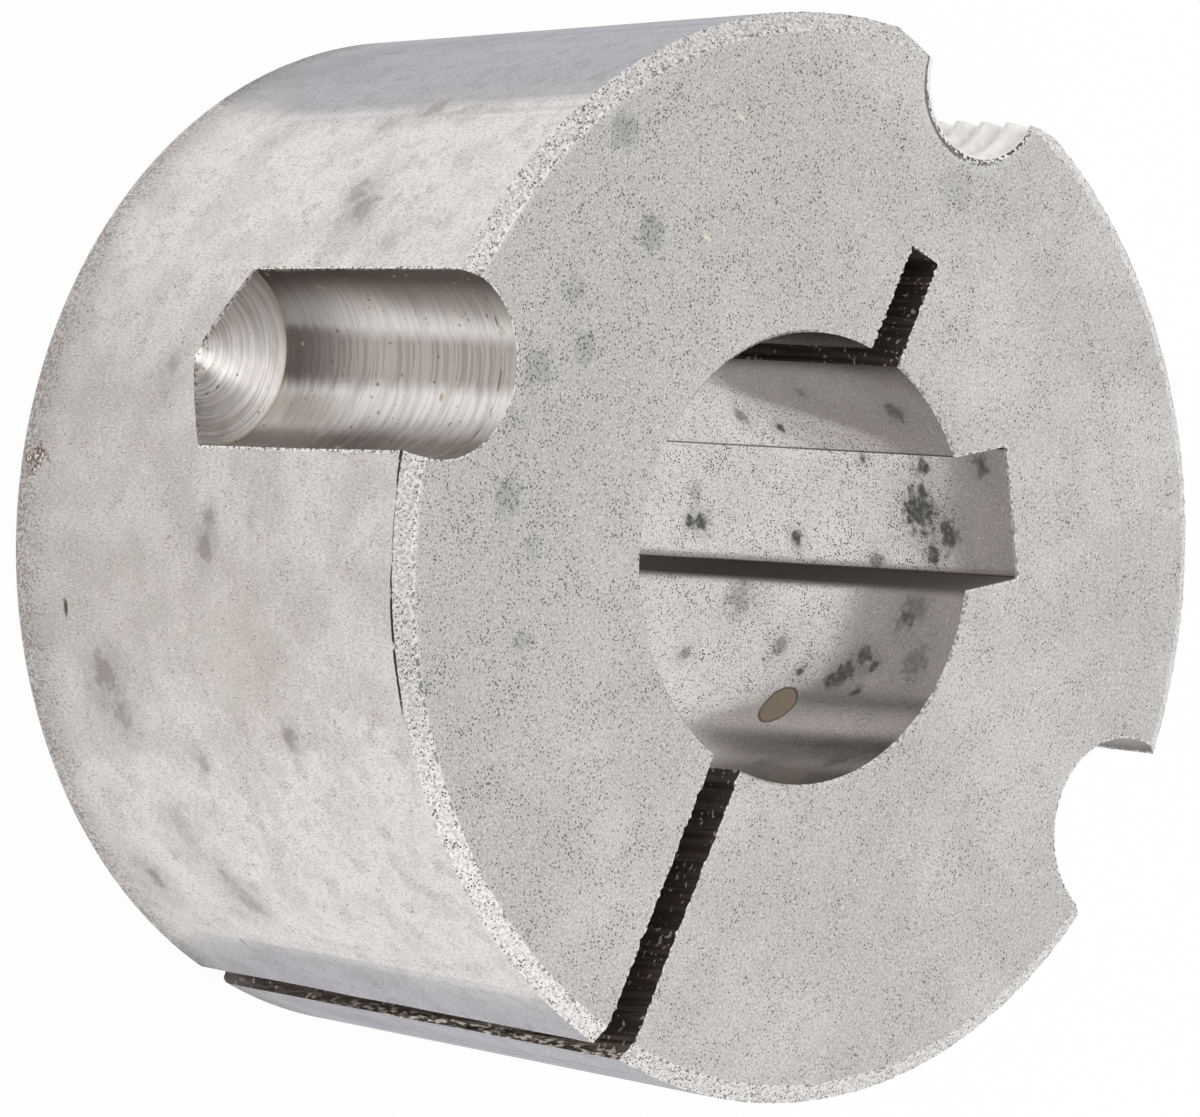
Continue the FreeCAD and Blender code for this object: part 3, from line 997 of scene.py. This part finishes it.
# The bush stands on white paper, in soft light from all round. The paper shows
# white to the camera and in the metal, and keeps the bush's shadow.
PAPER_GLOW = 0.96


def seen_directly(tree):
    """1 for what the camera sees, also in metal or through glass, and 0 for other light."""
    rays = ("Is Camera Ray", "Is Glossy Ray", "Is Transmission Ray")
    return sum(Wire(tree).node("ShaderNodeLightPath", {}, {}, ray) for ray in rays)


floor = add(bpy.ops.mesh.primitive_plane_add, "floor", size=4)
paper = bpy.data.materials.new("paper")
paper.use_nodes = True
plain = paper.node_tree.nodes["Principled BSDF"]
fill(plain, {"Base Color": (0.92, 0.92, 0.92, 1), "Roughness": 0.9, "Specular IOR Level": 0.0})
seen = seen_directly(paper.node_tree)
glow = seen.node("ShaderNodeEmission", {}, {"Color": (1, 1, 1, 1), "Strength": 1.0})
matt = Wire(paper.node_tree, plain.outputs["BSDF"])
mixed = seen.node("ShaderNodeMixShader", {}, {0: seen * PAPER_GLOW, 1: matt, 2: glow})
fill(paper.node_tree.nodes["Material Output"], {"Surface": mixed})
floor.data.materials.append(paper)

# Two blue-grey cards lie on the paper, one on each side of the bush. Only the
# metal sees them, as the darker bands along the top and the bottom of the taper.
CARD_COLOUR = (0.555, 0.56, 0.615, 1)
CARD_RISE = 0.02 * MM

card_finish = bpy.data.materials.new("card")
card_finish.use_nodes = True
card_output = card_finish.node_tree.nodes["Material Output"]
card_light = {"Color": CARD_COLOUR, "Strength": 1.0}
card_glow = Wire(card_finish.node_tree).node("ShaderNodeEmission", {}, card_light)
fill(card_output, {"Surface": card_glow})
for name, corners in (
    ("card_right", ((10.0, 14.6), (27, 15.5), (70, 17.5), (70, -40), (12, -40), (12, 0))),
    (
        "card_left",
        ((-15, 4.5), (-18.2, 1.6), (-28.4, -11.1), (-60, -50), (-8, -50), (-10, -10), (-14, 0)),
    ),
):
    card = add(
        bpy.ops.mesh.primitive_circle_add,
        name,
        vertices=len(corners),
        radius=1,
        fill_type="NGON",
    )
    for vertex, (x, y) in zip(card.data.vertices, corners):
        vertex.co = (x * MM, y * MM, CARD_RISE)
    card.data.materials.append(card_finish)
    card.visible_camera = False
    card.visible_diffuse = False
    card.visible_shadow = False
    card.visible_transmission = False

# The room is a white tent. Its light is a little weaker than the white that it
# shows, and one large lamp overhead makes the shadow.
ROOM_LIGHT = 0.85
LAMP_PLACE = Vector((0.15, 0.1, 0.5))
LAMP_SIZE = 0.3
LAMP_POWER = 0.4

world = bpy.data.worlds.new("studio")
bpy.context.scene.world = world
world.use_nodes = True
strength = seen_directly(world.node_tree) * (1 - ROOM_LIGHT) + ROOM_LIGHT
fill(world.node_tree.nodes["Background"], {"Color": (1, 1, 1, 1), "Strength": strength})

soft_box = bpy.data.objects.new("soft_box", bpy.data.lights.new("soft_box", "AREA"))
bpy.context.collection.objects.link(soft_box)
soft_box.data.size = LAMP_SIZE
soft_box.data.energy = LAMP_POWER
soft_box.location = LAMP_PLACE
soft_box.rotation_euler = LAMP_PLACE.to_track_quat("Z", "Y").to_euler()

# The camera looks down on the large end and one flank, from far away and through
# a long lens. It is rolled, so that the bore points to the right of the picture.
CAMERA_PLACE = Vector((-153.04, 346.73, 420.60)) * MM
CAMERA_FORWARD = Vector((0.27369923, -0.62210248, -0.73353748))
CAMERA_DOWN = Vector((-0.89500853, -0.44400914, 0.04261001))
CAMERA_LENS = 470.86

camera = bpy.data.objects.new("camera", bpy.data.cameras.new("camera"))
bpy.context.collection.objects.link(camera)
camera.data.lens = CAMERA_LENS
camera.data.clip_start = 0.01
camera.data.clip_end = 10
backward = -CAMERA_FORWARD.normalized()
upward = -CAMERA_DOWN.normalized()
right = upward.cross(backward)
turn = Matrix((right, upward, backward)).transposed().to_4x4()
camera.matrix_world = Matrix.Translation(CAMERA_PLACE) @ turn
bpy.context.scene.camera = camera
bpy.context.scene.view_settings.view_transform = "Standard"
